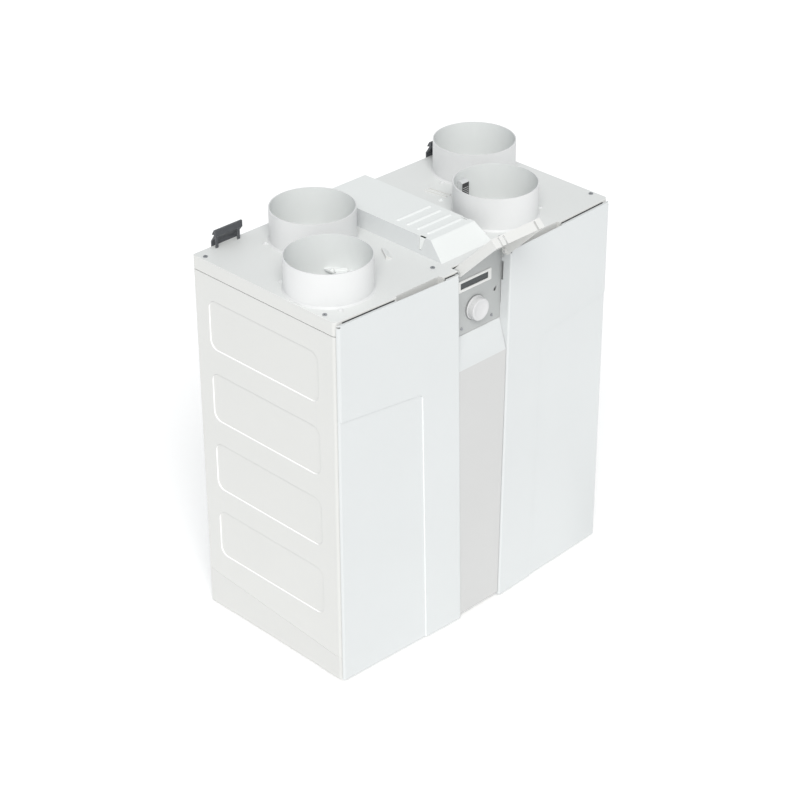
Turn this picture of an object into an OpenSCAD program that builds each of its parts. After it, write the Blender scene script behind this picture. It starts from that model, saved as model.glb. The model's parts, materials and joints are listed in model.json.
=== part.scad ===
/* [Casing] */
// Width of the casing
casing_w = 705; // [704:0.5:708]
// Depth of the casing, doors and wall hooks not counted
casing_d = 371; // [370:0.5:374]
// Height from the feet to the top face of the cap
casing_h = 757; // [756:0.5:758]
// Height of the cap's skirt
cap_skirt = 27; // [24:1:29]
// Depth of the recesses pressed into the side panels
side_recess = 1.8; // [1:0.1:2]
// Number of recesses on each side panel
side_recess_count = 4; // [1:1:4]

/* [Duct spigots] */
// Outer radius of a duct spigot
spigot_r = 80; // [78:0.5:80]
// Wall thickness of a duct spigot
spigot_wall = 2; // [1.5:0.5:3]
// Height of a duct spigot above the cap
spigot_rise = 65; // [45:1:80]

/* [Doors] */
// How far a door's outer edge stands in front of the casing
door_lead = 7; // [6.8:0.1:7.5]
// Angle by which each door face slopes out towards the middle
door_slope = 2.24; // [2.1:0.02:2.3]
// Thickness of a door's skin
door_skin = 2; // [1.6:0.1:2.2]
// Depth of the lower recessed field of a door
door_step = 2.2; // [1:0.1:2.2]

/* [Control flap and knob] */
// Half the width of the control flap
flap_half_w = 61.6; // [60:0.1:61.8]
// Depth of the flap's side walls
flap_depth = 18.7; // [17:0.1:18.8]
// Radius of the control knob
knob_r = 21.5; // [18:0.5:21.5]

/* [Electronics cover] */
// Height of the electronics cover above the cap
hump_h = 31; // [28:0.5:34]
// Half the width of the electronics cover at its foot
hump_half_w = 65; // [63:0.5:66]

/* [Heat exchanger and fans] */
// Half the width of the hexagonal exchanger
core_half_w = 140; // [130:1:140]
// Number of blades on each fan wheel
blade_count = 22; // [12:1:28]
// Radius of a fan wheel
wheel_r = 90; // [85:1:90]

/* [Hidden] */
$fn = 64;
half_w = casing_w / 2;
front = -casing_d / 2;
back = casing_d / 2;
sheet = 1.2;
cap_z = casing_h - cap_skirt;
cap_plate = 2.5;
cap_wall = 2;
cap_under = casing_h - cap_plate;
cap_gap = 1.4;
notch_floor = front - 1.2;
flap_slot_half_w = 64.8;
flap_slot_y = front + 6.5;
front_corner_r = 8;
back_corner_r = 3;

// slanted seam between the base and the side panels
seam_front_z = 52;
seam_back_z = 81;
seam_gap = 0.6;
base_z = 3;
base_floor = 3;
base_wall = 2.5;
drain_x = 60;
drain_room_r = 19;
drain_r = 13;

// side recesses
recess_y0 = front + 45;
recess_y1 = front + 333;
recess_h = 100;
recess_pitch = 150.5;
recess_first_z = 129.5;
recess_r = 18;

// doors: the inner edge leans, so the gap between the doors widens upwards
door_z0 = 5;
door_z1 = 752;
door_side_gap = 1.5;
door_lean = 1.0576;
door_gap_foot = 52.93;
door_foot_u = half_w - door_side_gap - door_gap_foot;
door_outer_r = 6;
door_low_r = 4;
door_inner_r = 3.5;
door_back = door_lead - 0.8;
door_top_back = door_lead - 1.8;
flange_deep = 22.3;
flange_shallow = 16.3;
flange_step_z = 546;
step_z = 562;
step_fall = 0.0934;
step_u = 206.6;
step_corner_r = 12;
hinge_y = front - 3.4;
hinge_z = 7;
hinge_pin_r = 1.5;
hinge_spots = [90, 240];

// cable gland in the electronics cover's left wall
gland_y = back - 18.3;
gland_z = casing_h + 12;
gland_r = 9;

// control flap: drawn closed, then swung open about its axis
flap_y = front - 9.3;
flap_z = casing_h - 4.9;
flap_top = 3.9;
flap_len = 124.6;
flap_wall = 1.8;
flap_open = 135;
flap_pin_r = 2;
flap_lug_x = 62.1;
flap_lug_t = 2.4;

// control fascia
fascia_y = front + 4.5;
fascia_t = 2.5;
fascia_z0 = 611;
fascia_z1 = 754;
fascia_half_w = 75;
screw_x = [-36.5, 41.5];
screw_z = 623.5;
screw_r = 1.6;
knob_x = -3;
knob_z = 656.5;
knob_face = front - 12;
shaft_r = 3;
key_x = 50;
key_z = 673;
plunger_r = 6;
encoder_y = fascia_y + fascia_t + 5.6;
lcd_x = [-41.5, 30.5];
lcd_z = [704, 717];
bezel_x = [-47, 38.5];
bezel_z = [699, 722];
cover_gap = 1;
cover_front = front - 15;
cover_top_z = 552;
cover_t = 2;

// spigots: supply, extract, outdoor, exhaust, turned about the middle in pairs
outer_spigot = [-267.5, -81];
inner_spigot = [-155, 81];
spigot_foot = 738;
spigot_flange = 95;
spigot_flange_t = 3;
screw_circle = 88;
duct_hole_r = 65;

// foam lining
skin_x = half_w - 4;
lining_front = front + 6;
lining_back = back - 4;
cavity = 150;
lining_top_z = 690;
lining_base_z = 62;
side_in = 334;

// heat exchanger
core_z = 410;
core_side = 160;
core_y0 = -104;
core_y1 = 149;
core_end = 8;

// fans, drawn for the supply side and turned half a circle for the exhaust side
fan_x = -235;
fan_y = -81;
fan_z = 170;
scroll_r = 98;
scroll_d = 100;
scroll_wall = 2.5;
fan_shaft_r = 4;
blade_r = 58;
motor_r = 36;

// filters
filter_x0 = 72;
filter_w = 130;
filter_z = 655;
filter_h = 25;

// bypass
bypass_y = -128.5;
bypass_z = 560;
bypass_x = -72;

// ---------- shared shapes ----------

// plan outline of the casing, drawn in by inset
module casing_outline(inset = 0) {
    x = half_w - inset;
    rf = front_corner_r - inset;
    rb = max(back_corner_r - inset, 0.5);
    y0 = front + inset;
    y1 = back - inset;
    translate([-x + rf, y0]) square([2 * (x - rf), rf + 1]);
    translate([-x, y0 + rf]) square([2 * x, y1 - y0 - rf - rb]);
    translate([-x + rb, y1 - rb - 1]) square([2 * (x - rb), rb + 1]);
    for (s = [-1, 1]) {
        translate([s * (x - rf), y0 + rf]) circle(r = rf);
        translate([s * (x - rb), y1 - rb]) circle(r = rb);
    }
}

// solid below the slanted seam, widened so that it covers the whole plan
module below_seam() {
    translate([-half_w - 10, 0, 0])
        rotate([90, 0, 90])
            linear_extrude(casing_w + 20)
                polygon([
                    [front - 30, -1],
                    [back + 10, -1],
                    [back + 10, seam_back_z],
                    [front, seam_front_z],
                    [front - 30, seam_front_z]
                ]);
}

module box(low, high) {
    translate(low) cube(high - low);
}

// rectangle with round corners in 2D
module round_rect(w, h, r) {
    translate([r, 0]) square([w - 2 * r, h]);
    translate([0, r]) square([w, h - 2 * r]);
    for (x = [r, w - r]) {
        for (y = [r, h - r]) {
            translate([x, y]) circle(r = r);
        }
    }
}

// cylinder along +Y from a start point
module rod_y(x, y, z, r, len) {
    translate([x, y, z]) rotate([-90, 0, 0]) cylinder(r = r, h = len);
}

// cylinder along +X from a start point
module rod_x(x, y, z, r, len) {
    translate([x, y, z]) rotate([0, 90, 0]) cylinder(r = r, h = len);
}

// extrusion of a YZ outline along X
module along_x(x0, x1) {
    translate([x0, 0, 0]) rotate([90, 0, 90]) linear_extrude(x1 - x0) children();
}

// extrusion of an XZ outline along Y
module along_y(y0, y1) {
    translate([0, y1, 0]) rotate([90, 0, 0]) linear_extrude(y1 - y0) children();
}

// half turn about the vertical middle axis
module turned() {
    rotate([0, 0, 180]) children();
}

// domed screw head with a star recess, standing on z = 0
module domed_head(r = 4.6, h = 3) {
    difference() {
        union() {
            cylinder(r = r + 1.2, h = 0.9);
            intersection() {
                translate([0, 0, h - r * 1.15]) sphere(r = r * 1.15);
                cylinder(r = r, h = h + 1);
            }
        }
        translate([0, 0, h - 1.4]) cylinder(r = 1.6, h = 3, $fn = 6);
    }
}

// flat screw head with a star recess, standing on z = 0
module flat_head(r = 4.2, h = 1.6) {
    difference() {
        cylinder(r = r, h = h);
        translate([0, 0, 0.5]) cylinder(r = 2.1, h = h, $fn = 6);
    }
}

// ---------- casing ----------

module base_tray() {
    lug = 5;
    arch_r = 9;
    arch_z = -4;
    color([0.9, 0.91, 0.91])
    difference() {
        union() {
            difference() {
                intersection() {
                    translate([0, 0, base_z]) linear_extrude(90) casing_outline();
                    below_seam();
                }
                translate([0, 0, base_z + base_floor]) linear_extrude(90) casing_outline(base_wall);
            }
            // lugs that carry the door hinge pins
            for (s = [-1, 1]) {
                for (x = hinge_spots) {
                    box([s * x - lug, front - 5.6, 4], [s * x + lug, front + 1, 9.6]);
                }
            }
        }
        for (s = [-1, 1]) {
            for (x = hinge_spots) {
                rod_x(s * x - lug - 1, hinge_y, hinge_z, hinge_pin_r, 2 * lug + 2);
            }
        }
        translate([drain_x, 0, 0]) cylinder(r = drain_room_r, h = 20);
        // toe recess along both sides
        for (s = [-1, 1]) {
            translate([s * half_w, 0, 0]) box([-1.4, front + 62, 0], [1.4, back - 62, 6.5]);
        }
        // shallow arches beside the corner feet
        for (s = [-1, 1]) {
            for (y = [front - 1, back - base_wall - 0.5]) {
                rod_y(s * (half_w - 48), y, arch_z, arch_r, base_wall + 1.5);
            }
            for (y = [front + 48, back - 48]) {
                rod_x(s * (half_w - 1) - 2, y, arch_z, arch_r, 4);
            }
        }
    }
}

module base_feet() {
    side = 28;
    inset = 20;
    color([0.86, 0.87, 0.87])
    union() {
        for (sx = [-1, 1]) {
            for (sy = [-1, 1]) {
                translate([sx * (half_w - inset) - side / 2, sy * (casing_d / 2 - inset) - side / 2, 0])
                    linear_extrude(base_z) round_rect(side, side, 5);
            }
        }
        cylinder(r = 30, h = base_z);
    }
}

module back_panel() {
    stiffener_half_w = 290;
    stiffener_h = 20;
    pitch = 150;
    color([0.8, 0.81, 0.82])
    union() {
        box([-half_w + 6, back - 2.6, seam_back_z + 1], [half_w - 6, back - 1.4, cap_z - 1]);
        for (k = [1:4]) {
            box(
                [-stiffener_half_w, back - 1.41, k * pitch],
                [stiffener_half_w, back - 0.2, k * pitch + stiffener_h]
            );
        }
    }
}

// outline of one side recess in the YZ plane
module recess_outline(row, grow) {
    translate([recess_y0 - grow, recess_first_z + row * recess_pitch - grow])
        round_rect(recess_y1 - recess_y0 + 2 * grow, recess_h + 2 * grow, recess_r + grow);
}

module side_panel() {
    rows = [0:side_recess_count - 1];
    difference() {
        union() {
            difference() {
                translate([0, 0, 40]) linear_extrude(cap_z - 40 - cap_gap) casing_outline();
                translate([0, 0, 39]) linear_extrude(casing_h) casing_outline(sheet);
                box([-half_w + 25, front - 5, 0], [half_w + 5, back + 5, casing_h]);
                translate([0, 0, seam_gap]) below_seam();
            }
            for (k = rows) {
                along_x(-half_w + 0.2, -half_w + side_recess + sheet) recess_outline(k, sheet);
            }
        }
        for (k = rows) {
            along_x(-half_w - 1, -half_w + side_recess) recess_outline(k, 0);
        }
    }
}

module left_side_panel() {
    color([0.91, 0.91, 0.9]) side_panel();
}

module right_side_panel() {
    color([0.91, 0.91, 0.9]) mirror([1, 0, 0]) side_panel();
}

// ---------- cap and what stands on it ----------

// plan of the cap: the casing's outline with a front that follows the doors
module cap_outline(inset = 0) {
    rise = tan(door_slope);
    floor_y = notch_floor + inset;
    difference() {
        union() {
            casing_outline(inset);
            polygon([
                [-half_w + 8, front + 9],
                [-half_w + 8, front - 8 * rise + inset],
                [0, front - half_w * rise + inset],
                [half_w - 8, front - 8 * rise + inset],
                [half_w - 8, front + 9]
            ]);
        }
        for (s = [-1, 1]) {
            polygon([
                [s * (97 - inset), front - 20],
                [s * (215 + inset), front - 20],
                [s * (209 + inset), floor_y],
                [s * (103 - inset), floor_y]
            ]);
        }
    }
}

module top_cap() {
    color([0.9, 0.91, 0.91])
    difference() {
        union() {
            translate([0, 0, cap_under]) linear_extrude(cap_plate) cap_outline();
            difference() {
                translate([0, 0, cap_z]) linear_extrude(cap_skirt - 1) cap_outline();
                translate([0, 0, cap_z - 1]) linear_extrude(cap_skirt) cap_outline(cap_wall);
            }
            // two raised cable guides between the exhaust spigot and the cover
            for (x = [136.5, 147.5]) {
                translate([x, 55, casing_h - 0.5])
                    rotate([0, 0, 9])
                        along_y(-25, 25) polygon([[-2.4, 0], [2.4, 0], [1.4, 3.7], [-1.4, 3.7]]);
            }
            // sloping cable clip beside the supply spigot
            translate([-109, -62, casing_h - 0.5])
                rotate([0, 0, -31.5])
                    along_y(-17, 17) polygon([[-5, 0], [6, 0], [6, 1.5], [-3, 7.5], [-5, 7.5]]);
        }
        for (p = [outer_spigot, inner_spigot]) {
            translate([p[0], p[1], cap_z]) cylinder(r = spigot_r + 0.4, h = 60);
            translate([-p[0], -p[1], cap_z]) cylinder(r = spigot_r + 0.4, h = 60);
        }
        // room for the open flap, its ears and the fascia behind it
        box(
            [-flap_slot_half_w, front - 30, cap_z - 1],
            [flap_slot_half_w, flap_slot_y, casing_h + 1]
        );
        box([-71, front - 30, cap_z - 1], [71, front + 8, cap_under]);
    }
}

// side view of the electronics cover, drawn in by inset
module hump_profile(inset = 0) {
    polygon([
        [front + 28 + inset * 1.9, -inset],
        [front + 64 + inset * 0.6, hump_h - inset],
        [front + 314, hump_h - inset],
        [front + 350 - inset * 0.5, hump_h - 1 - inset],
        [back - inset, hump_h / 2 - inset],
        [back - inset, -inset]
    ]);
}

module hump_solid(inset = 0) {
    w0 = hump_half_w - inset;
    w1 = hump_half_w - 9 - inset * 1.1;
    intersection() {
        translate([0, 0, casing_h]) along_x(-hump_half_w - 5, hump_half_w + 5) hump_profile(inset);
        translate([0, 0, casing_h])
            along_y(front, back + 5)
                polygon([
                    [-w0, -inset],
                    [w0, -inset],
                    [w1, hump_h + 1 - inset],
                    [-w1, hump_h + 1 - inset]
                ]);
    }
}

module electronics_cover() {
    top = casing_h + hump_h;
    rib_x = [-38, 42];
    rib_r = 5;
    color([0.93, 0.94, 0.94])
    difference() {
        union() {
            difference() {
                hump_solid();
                hump_solid(2.2);
            }
            // four raised cooling ribs
            for (k = [0:3]) {
                y = front + 87.4 + k * 25.9;
                intersection() {
                    union() {
                        rod_x(rib_x[0], y, top - 2.8, rib_r, rib_x[1] - rib_x[0]);
                        for (x = rib_x) {
                            translate([x, y, top - 2.8]) sphere(r = rib_r);
                        }
                    }
                    box([-60, y - 2 * rib_r, top - 1.5], [60, y + 2 * rib_r, top + rib_r]);
                }
            }
        }
        // notch for the release catch on each side
        for (s = [-1, 1]) {
            translate([s * 61, front + 85, casing_h + 7])
                rotate([0, s * -16.2, 0])
                    along_x(-4, 4)
                        polygon([[-3, 0], [3, 0], [8, 25], [8, 40], [-8, 40], [-8, 25]]);
        }
        rod_x(-70, gland_y, gland_z, gland_r + 0.3, 20);
    }
}

module cable_gland() {
    color([0.25, 0.26, 0.27])
    translate([0, gland_y, gland_z])
        difference() {
            union() {
                translate([-70.5, 0, 0]) rotate([0, 90, 0]) cylinder(r = 11, h = 5, $fn = 6);
                rod_x(-76, 0, 0, gland_r + 0.4, 7);
                rod_x(-66, 0, 0, gland_r, 15);
                translate([-55, 0, 0]) rotate([0, 90, 0]) cylinder(r = 10, h = 4, $fn = 6);
            }
            rod_x(-77, 0, 0, gland_r / 2, 30);
        }
}

module board_tray() {
    color([0.3, 0.31, 0.32])
    difference() {
        box([-52, front + 72, casing_h], [52, front + 310, casing_h + 5]);
        box([-50, front + 74, casing_h + 1.5], [50, front + 308, casing_h + 6]);
    }
}

module control_board() {
    z = casing_h + 5;
    color([0.13, 0.42, 0.25])
    union() {
        for (x = [-44, 40]) {
            for (y = [front + 80, front + 296]) {
                box([x, y, casing_h + 1.5], [x + 4, y + 4, z + 0.1]);
            }
        }
        box([-48, front + 77, z], [48, front + 304, z + 1.6]);
        box([-40, front + 90, z + 1.5], [-12, front + 118, z + 20]);
        box([10, front + 95, z + 1.5], [24, front + 150, z + 14]);
        for (k = [0:5]) {
            box([-44, front + 140 + k * 22, z + 1.5], [-30, front + 156 + k * 22, z + 13]);
        }
        for (k = [0:2]) {
            translate([32, front + 170 + k * 30, z + 1.5]) cylinder(r = 8, h = 16);
        }
        box([-10, front + 200, z + 1.5], [12, front + 260, z + 8]);
    }
}

// ---------- duct spigots ----------

module spigot_tube() {
    bead = 3;
    flange_z = cap_under - 0.2;
    rotate_extrude(convexity = 4)
        polygon([
            [spigot_r - spigot_wall, spigot_foot],
            [spigot_r, spigot_foot],
            [spigot_r, flange_z - spigot_flange_t],
            [spigot_flange, flange_z - spigot_flange_t],
            [spigot_flange, flange_z],
            [spigot_r, flange_z],
            [spigot_r, casing_h],
            [spigot_r + bead, casing_h],
            [spigot_r, casing_h + bead],
            [spigot_r, casing_h + spigot_rise],
            [spigot_r - spigot_wall, casing_h + spigot_rise]
        ]);
}

// spigot at a place, its flange cut where it meets the casing's side
module placed_spigot(p, a) {
    union() {
        intersection() {
            translate([p[0], p[1], 0]) spigot_tube();
            box([-skin_x + 0.5, front, 0], [skin_x - 0.5, back, 1000]);
        }
        for (k = [0:2]) {
            translate([p[0], p[1], casing_h])
                rotate([0, 0, a + k * 120])
                    translate([screw_circle, 0, 0]) domed_head();
        }
    }
}

module supply_spigot() {
    x = outer_spigot[0];
    y = outer_spigot[1];
    ledge_z = casing_h - 2;
    reach = 10;
    ridge_r = 2.4;
    color([0.9, 0.91, 0.92])
    union() {
        placed_spigot(outer_spigot, 0);
        // ledge inside the spigot with a clamp screw and a ribbed lever on it
        intersection() {
            translate([x, y, ledge_z - 3]) cylinder(r = spigot_r - spigot_wall / 2, h = 3);
            box([x + 46, y - spigot_r, 0], [x + spigot_r, y + spigot_r, 1000]);
        }
        translate([x + 51, y + 46, ledge_z - 0.4]) domed_head(5, 3.4);
        translate([x + 59, y + 32, ledge_z - 0.4])
            rotate([0, 0, 146]) {
                box([-reach, -5, 0], [reach, 5, 3]);
                for (s = [-1, 1]) {
                    rod_x(-reach, s * 2.6, 3, ridge_r, 2 * reach);
                    translate([reach, s * 2.6, 3]) sphere(r = ridge_r);
                    translate([-reach, s * 2.6, 3]) sphere(r = ridge_r);
                }
            }
    }
}

module extract_spigot() {
    color([0.9, 0.91, 0.92]) placed_spigot(inner_spigot, 30);
}

module outdoor_air_spigot() {
    color([0.9, 0.91, 0.92]) placed_spigot(-inner_spigot, 90);
}

module exhaust_spigot() {
    color([0.9, 0.91, 0.92]) placed_spigot(-outer_spigot, 60);
}

// temperature sensor inside the outdoor air spigot, with a ribbed front
module duct_sensor() {
    x = -inner_spigot[0] - 16;
    y = -inner_spigot[1] + 73.4;
    low = casing_h + 4;
    high = casing_h + 50;
    color([0.42, 0.43, 0.45])
    difference() {
        union() {
            box([x - 9, y - 12, spigot_foot - 12], [x + 9, y, high]);
            rod_y(x, y - 30, spigot_foot + 4, 3, 19);
        }
        // slanted top
        translate([x - 12, y - 20, high - 8]) rotate([30, 0, 0]) cube([24, 40, 30]);
        for (z = [low : 4 : high - 12]) {
            box([x - 7, y - 13, z], [x + 7, y - 10.4, z + 2]);
        }
    }
}

module cap_screws() {
    spots = [
        [-342.5, -150.5], [-343, 161.5], [-87.3, -157], [87.3, -157], [342.5, -152], [343, 161.5]
    ];
    color([0.35, 0.36, 0.38])
    union() {
        for (p = spots) {
            translate([p[0], p[1], casing_h]) flat_head();
        }
        translate([123.5, 29, casing_h]) domed_head();
    }
}

// ---------- wall hooks ----------

module wall_hook() {
    t = 2;
    y = back;
    difference() {
        along_x(-307.5, -242.5)
            polygon([
                [y + 0.2, 690], [y + 0.2 + t, 690], [y + 0.2 + t, 767], [y - 8.8 + t, 780.5],
                [y - 8.8 + t, 788.5], [y - 3.4, 780.6], [y - 1.8, 782], [y - 9.2 + t, 791.5],
                [y - 11, 791.5], [y - 11, 779], [y + 0.2, 765.6]
            ]);
        for (x = [-299, -251]) {
            rod_y(x, y - 5, 708, 3.2, 20);
        }
    }
    // tabs that reach into the cap
    for (x = [-304.5, -253]) {
        box([x - 3, y - 12, 772], [x + 3, y - 9, 779.5]);
        box([x - 3, y - 12, casing_h], [x + 3, y - 10, 773]);
    }
}

module left_wall_hook() {
    color([0.28, 0.29, 0.31]) wall_hook();
}

module right_wall_hook() {
    color([0.28, 0.29, 0.31]) mirror([1, 0, 0]) wall_hook();
}

// ---------- doors ----------

// recessed field of a door in its own plane; the corner arc stands a trace proud of its tangents
module step_field(grow) {
    a = step_fall;
    b = tan(door_lean);
    ka = sqrt(1 + a * a);
    kb = sqrt(1 + b * b);
    p = step_z - step_corner_r * ka;
    q = step_u - step_corner_r * kb;
    cu = (q - b * p) / (1 - a * b);
    cz = p - a * cu;
    r = step_corner_r + grow;
    polygon([
        [-5, -5],
        [step_u + grow * kb + 5 * b, -5],
        [cu + r / kb, cz + r * b / kb],
        [cu + r * a / ka, cz + r / ka],
        [-5, step_z + 5 * a + grow * ka]
    ]);
    translate([cu, cz]) circle(r = r + 0.02);
}

// quarter of a tube along Z whose outside touches x = 0 and y = 0
module edge_round(r, wall) {
    intersection() {
        translate([r, r, -10])
            difference() {
                cylinder(r = r, h = casing_h);
                translate([0, 0, -1]) cylinder(r = r - wall, h = casing_h + 2);
            }
        translate([0, 0, -10]) cube([r, r, casing_h]);
    }
}

// front view of a door without its rounded edges
module door_field(inset) {
    b = tan(door_lean);
    polygon([
        [door_outer_r, door_z0],
        [door_foot_u - inset - door_z0 * b, door_z0],
        [door_foot_u - inset - door_z1 * b, door_z1],
        [door_outer_r, door_z1]
    ]);
}

// one door lying in its own plane: u along X, face at y = 0, inside towards +Y
module flat_door() {
    far = door_foot_u + 4;
    top_u = door_foot_u - door_z1 * tan(door_lean) - 1;
    foot_u = door_foot_u - 1.2;
    difference() {
        union() {
            // upper skin with the stepped field taken out
            difference() {
                along_y(0, door_skin) door_field(door_inner_r);
                along_y(-1, door_skin + 1) step_field(0);
            }
            difference() {
                edge_round(door_outer_r, door_skin);
                along_y(-1, 20) step_field(0);
            }
            // recessed lower field and its step wall
            difference() {
                intersection() {
                    along_y(0, door_step + door_skin) step_field(door_skin);
                    translate([door_low_r, 0, 0]) cube([far, 20, casing_h]);
                }
                along_y(-1, door_step) step_field(0);
            }
            intersection() {
                translate([0, door_step, 0]) edge_round(door_low_r, door_skin);
                along_y(-1, 20) step_field(door_skin);
            }
            // rounded inner edge and the return that forms the recess wall
            translate([door_foot_u, 0, 0])
                rotate([0, -door_lean, 0])
                    union() {
                        mirror([1, 0, 0]) edge_round(door_inner_r, door_skin);
                        difference() {
                            box([-door_skin, door_inner_r, 0], [0, flange_deep, casing_h]);
                            box([-9, flange_shallow, -1], [9, 40, flange_step_z]);
                            box([-9, flange_deep - 5, 688], [9, 40, 726]);
                            box([-9, flange_deep - 1, 641], [9, 40, 688.5]);
                        }
                    }
            // top flange with a rounded outer corner, open behind the finger notch
            difference() {
                translate([0, 0, door_z1 - door_skin])
                    linear_extrude(door_skin)
                        intersection() {
                            union() {
                                translate([door_outer_r, door_outer_r]) circle(r = door_outer_r - 0.8);
                                translate([door_outer_r, 0.8]) square([top_u, door_back]);
                            }
                            square([top_u, door_top_back]);
                        }
                box([137, 0, 700], [255, 40, 800]);
            }
            // bottom flange, cut away where the hinge lugs stand
            difference() {
                translate([0, 0, door_z0])
                    linear_extrude(door_skin)
                        polygon([
                            [1, door_back], [1, door_low_r + 1.5], [5, 1], [foot_u, 1],
                            [foot_u, door_back + foot_u * tan(door_slope) - 0.6]
                        ]);
                for (x = hinge_spots) {
                    u = half_w - door_side_gap - x;
                    box([u - 5.9, door_step + door_skin, 0], [u + 5.4, 40, 20]);
                }
            }
            // hinge ears inside the bottom edge
            for (x = hinge_spots) {
                for (d = [-8.9, 5.4]) {
                    u = half_w - door_side_gap - x + d;
                    depth = door_back + u * tan(door_slope);
                    box([u, 1, door_z0], [u + 3, depth - 0.6, door_z0 + 7]);
                }
            }
        }
        along_y(-1, door_step) step_field(0);
        box([-9, -9, -20], [far + 20, 60, door_z0]);
        box([-9, -9, door_z1], [far + 20, 60, door_z1 + 50]);
    }
}

module placed_door() {
    difference() {
        translate([-half_w + door_side_gap, front - door_lead, 0])
            rotate([0, 0, -door_slope]) flat_door();
        for (x = hinge_spots) {
            rod_x(-x - 12, hinge_y, hinge_z, hinge_pin_r + 0.05, 24);
        }
    }
}

module left_door() {
    color([0.93, 0.94, 0.95]) placed_door();
}

module right_door() {
    color([0.93, 0.94, 0.95]) mirror([1, 0, 0]) placed_door();
}

module door_hinge_pins() {
    color([0.7, 0.71, 0.72])
    union() {
        for (s = [-1, 1]) {
            for (x = hinge_spots) {
                rod_x(s * x - 9, hinge_y, hinge_z, hinge_pin_r, 18);
            }
        }
    }
}

module door_magnets() {
    color([0.3, 0.3, 0.32])
    for (s = [0, 1]) {
        mirror([s, 0, 0])
            translate([-half_w, front, 0])
                rotate([0, 0, -door_slope])
                    for (u = [107, 268]) {
                        box([u - 9, -4, cap_z + 6], [u + 9, 0, cap_z + 14]);
                    }
    }
}

// ---------- middle column ----------

// half the clear width between the doors at height z
function gap_at(z) = door_gap_foot + z * tan(door_lean);

// front view of the middle cover, leaning with the doors
module column_field(inset, z0, z1) {
    polygon([
        [-gap_at(z0) + inset, z0],
        [gap_at(z0) - inset, z0],
        [gap_at(z1) - inset, z1],
        [-gap_at(z1) + inset, z1]
    ]);
}

module centre_cover() {
    z0 = 11;
    z1 = fascia_z0 - 0.6;
    color([0.87, 0.87, 0.86])
    difference() {
        intersection() {
            along_x(-80, 80)
                polygon([
                    [cover_front, z0], [cover_front, cover_top_z], [fascia_y - 0.5, z1],
                    [fascia_y + 1.4, z1], [fascia_y + 1.4, 66], [front - 0.3, 66], [front - 0.3, z0]
                ]);
            along_y(front - 40, front + 40) column_field(cover_gap, z0, z1);
        }
        // hollow behind the front face
        intersection() {
            along_x(-80, 80)
                polygon([
                    [cover_front + cover_t, z0 + 2], [cover_front + cover_t, cover_top_z - 0.4],
                    [fascia_y + 0.9, z1 - 3], [front + 30, z1 - 3], [front + 30, z0 + 2]
                ]);
            along_y(front - 41, front + 41) column_field(cover_gap + cover_t, z0, z1);
        }
    }
}

module control_fascia() {
    y0 = fascia_y;
    y1 = fascia_y + fascia_t;
    color([0.83, 0.84, 0.85])
    difference() {
        union() {
            box([-fascia_half_w, y0, fascia_z0], [fascia_half_w, y1, fascia_z1]);
            // cheeks that carry the flap's hinge pins
            for (s = [-1, 1]) {
                x = s > 0 ? flap_lug_x : -flap_lug_x - flap_lug_t;
                along_x(x, x + flap_lug_t)
                    union() {
                        translate([flap_y, flap_z]) circle(r = 5);
                        translate([flap_y, flap_z - 5]) square([y0 - flap_y - 5, 10]);
                        translate([y0 - 6, 735]) square([7, flap_z + 2 - 735]);
                    }
            }
        }
        // lower top edge beside the flap's left ear
        box([-fascia_half_w - 1, y0 - 1, 748], [-34, y1 + 1, 760]);
        // display window, shaft hole, knob dish, key recess and screw holes
        box([lcd_x[0], y0 - 1, lcd_z[0]], [lcd_x[1], y1 + 1, lcd_z[1]]);
        rod_y(knob_x, y0 - 1, knob_z, shaft_r + 0.6, 6);
        rod_y(knob_x, y0 - 1, knob_z, knob_r + 3.4, 2.4);
        rod_y(key_x, y0 - 1, key_z, 3.5, 6);
        along_y(y0 - 1, y0 + 5)
            polygon([[key_x - 3, key_z + 2], [key_x + 3, key_z - 2], [key_x + 5, key_z + 8]]);
        for (x = screw_x) {
            rod_y(x, y0 - 1, screw_z, screw_r, 6);
        }
        for (s = [-1, 1]) {
            rod_x(s * (flap_lug_x + 1.2) - 3, flap_y, flap_z, flap_pin_r, 6);
        }
    }
}

module display_bezel() {
    y0 = fascia_y - 1.5;
    color([0.88, 0.89, 0.9])
    difference() {
        along_y(y0, fascia_y)
            translate([bezel_x[0], bezel_z[0]])
                round_rect(bezel_x[1] - bezel_x[0], bezel_z[1] - bezel_z[0], 1.5);
        box([lcd_x[0], y0 - 1, lcd_z[0]], [lcd_x[1], fascia_y + 1, lcd_z[1]]);
    }
}

module display_lens() {
    color([0.29, 0.32, 0.33])
    box([lcd_x[0] + 0.1, fascia_y + 0.2, lcd_z[0] + 0.1], [lcd_x[1] - 0.1, fascia_y + 1.8, lcd_z[1] - 0.1]);
}

module display_module() {
    y0 = fascia_y + fascia_t;
    color([0.13, 0.42, 0.25])
    union() {
        difference() {
            box([-50, y0 + 4, 640], [44, y0 + 5.6, 728]);
            rod_y(knob_x, y0, knob_z, plunger_r + 0.05, 10);
        }
        box([lcd_x[0] - 3, y0, lcd_z[0] - 4], [lcd_x[1] + 3, y0 + 4, lcd_z[1] + 4]);
        for (x = [-46, 38]) {
            box([x, y0, 642], [x + 4, y0 + 4, 646]);
        }
    }
}

module rotary_encoder() {
    y0 = encoder_y;
    color([0.2, 0.21, 0.22])
    difference() {
        box([knob_x - 9, y0, knob_z - 9], [knob_x + 9, y0 + 12, knob_z + 9]);
        rod_y(knob_x, y0 - 1, knob_z, plunger_r + 0.05, 11);
    }
}

module encoder_plunger() {
    y0 = encoder_y;
    color([0.55, 0.56, 0.58])
    difference() {
        rod_y(knob_x, y0 + 0.6, knob_z, plunger_r, 6);
        rod_y(knob_x, y0 - 1, knob_z, shaft_r + 0.05, 20);
    }
}

module encoder_shaft() {
    color([0.65, 0.66, 0.68]) rod_y(knob_x, knob_face + 4, knob_z, shaft_r, 28);
}

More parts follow.
